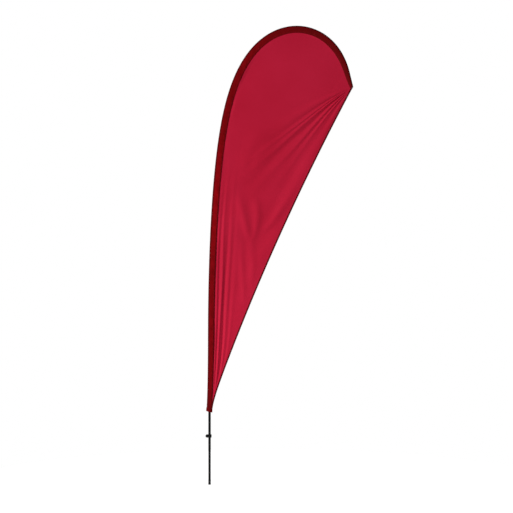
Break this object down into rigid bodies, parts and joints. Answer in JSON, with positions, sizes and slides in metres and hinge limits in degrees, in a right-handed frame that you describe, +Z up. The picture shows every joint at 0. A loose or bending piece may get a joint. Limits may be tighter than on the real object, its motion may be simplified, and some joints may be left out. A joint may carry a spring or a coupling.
{
  "type": "teardrop flag",
  "caption": "Teardrop-shaped advertising flag: a red sail on a bent sectional pole in a sewn sleeve, tensioned by a cord and clamp collar, for a spindle base.",
  "frame": {"origin": "centre of the pole's bottom rim, in the mouth of its spindle socket", "axes": "+Z up along the straight lower pole, +X from the pole to the sail's tip corner, +Y square to the sail"},
  "size_m": [0.8671, 0.0376, 2.6922],
  "materials": {
    "sail_fabric": "light woven polyester, faint sheen",
    "sleeve_fabric": "doubled woven polyester, matt",
    "hem_fabric": "folded woven polyester, stitched",
    "webbing": "ribbed webbing",
    "black_pole": "black anodised, satin",
    "fibreglass": "pultruded, lengthwise grain",
    "steel": "zinc plated",
    "black_plastic": "moulded, fine texture",
    "elastic_cord": "braided elastic"
  },
  "bodies": {
    "pole_foot": {"foot_bush": "black_plastic", "lower_pole": "black_pole"},
    "mast": {"mid_pole": "fibreglass", "stop_ring": "black_pole", "tip_ferrule": "steel", "tip_pole": "fibreglass", "tip_cap": "black_plastic", "tip_pocket": "webbing", "pole_sleeve": "sleeve_fabric", "foot_band": "sleeve_fabric", "sail": "sail_fabric", "leech_hem": "hem_fabric", "cord_tab": "webbing", "tension_cord": "elastic_cord"},
    "collar": {"tension_collar": "black_plastic", "clamp_nut": "steel"},
    "screw": {"clamp_screw": "steel", "clamp_knob": "black_plastic"}
  },
  "joints": [
    {"name": "mast_lift", "type": "slide", "parent": "pole_foot", "child": "mast", "axis": [0, 0, 1], "range_m": [0, 0.12]},
    {"name": "collar_slide", "type": "slide", "parent": "mast", "child": "collar", "axis": [0, 0, 1], "range_m": [-0.06, 0.06], "deforming": ["tension_cord"]},
    {"name": "screw_turn", "type": "hinge", "parent": "collar", "child": "screw", "pos_m": [-0.015, 0, 0.285], "axis": [0, 1, 0], "range_deg": [0, 540]}
  ]
}
